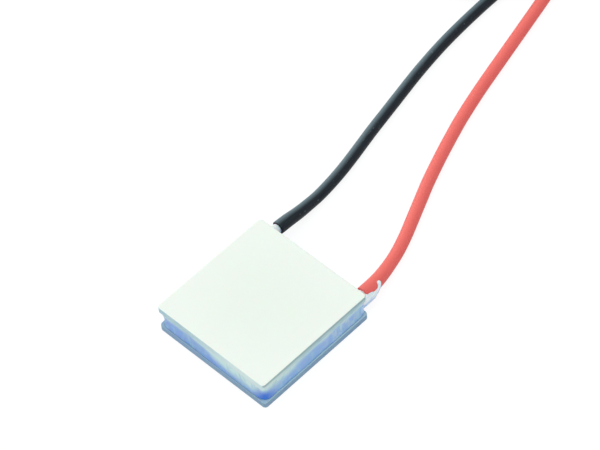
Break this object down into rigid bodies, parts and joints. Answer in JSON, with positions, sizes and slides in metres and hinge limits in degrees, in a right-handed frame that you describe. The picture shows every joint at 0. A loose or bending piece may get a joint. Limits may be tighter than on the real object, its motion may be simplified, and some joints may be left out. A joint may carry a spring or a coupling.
{
  "type": "thermoelectric cooling module",
  "caption": "Square thermoelectric cooling module: soldered semiconductor legs between two ceramic plates, a silicone edge bead and two insulated leads.",
  "frame": {"origin": "centre of the hot plate's outer face, which the module stands on", "axes": "+Z is the cold side, +Y is the edge that both leads leave over, +X is the red lead's side"},
  "size_m": [0.0339, 0.0803, 0.0038],
  "materials": {
    "alumina": "matte white alumina ceramic",
    "copper": "bare copper",
    "solder": "satin solder",
    "p_telluride": "sawn bismuth telluride, p type",
    "n_telluride": "sawn bismuth telluride, n type",
    "blue_silicone": "translucent blue silicone",
    "clear_silicone": "translucent whitish silicone",
    "tinned_copper": "tinned strands",
    "black_insulation": "soft satin",
    "red_insulation": "soft satin"
  },
  "bodies": {
    "root": {"hot_plate": "alumina", "cold_plate": "alumina", "hot_tabs": "copper", "cold_tabs": "copper", "black_pad_tab": "copper", "red_pad_tab": "copper", "hot_solder": "solder", "cold_solder": "solder", "p_leg_01": "p_telluride", "n_leg_02": "n_telluride", "p_leg_03": "p_telluride", "n_leg_04": "n_telluride", "p_leg_05": "p_telluride", "n_leg_06": "n_telluride", "p_leg_07": "p_telluride", "n_leg_08": "n_telluride", "p_leg_09": "p_telluride", "n_leg_10": "n_telluride", "p_leg_11": "p_telluride", "n_leg_12": "n_telluride", "p_leg_13": "p_telluride", "n_leg_14": "n_telluride", "p_leg_15": "p_telluride", "n_leg_16": "n_telluride", "p_leg_17": "p_telluride", "n_leg_18": "n_telluride", "p_leg_19": "p_telluride", "n_leg_20": "n_telluride", "p_leg_21": "p_telluride", "n_leg_22": "n_telluride", "p_leg_23": "p_telluride", "n_leg_24": "n_telluride", "p_leg_25": "p_telluride", "n_leg_26": "n_telluride", "p_leg_27": "p_telluride", "n_leg_28": "n_telluride", "p_leg_29": "p_telluride", "n_leg_30": "n_telluride", "p_leg_31": "p_telluride", "n_leg_32": "n_telluride", "p_leg_33": "p_telluride", "n_leg_34": "n_telluride", "edge_sealant": "blue_silicone", "black_exit_sealant": "clear_silicone", "red_exit_sealant": "clear_silicone", "black_core": "tinned_copper", "red_core": "tinned_copper", "black_joint": "solder", "red_joint": "solder", "black_lead": "black_insulation", "red_lead": "red_insulation", "black_coil_turns": "black_insulation", "red_coil_turns": "red_insulation", "black_tip": "tinned_copper", "red_tip": "tinned_copper"}
  },
  "joints": []
}
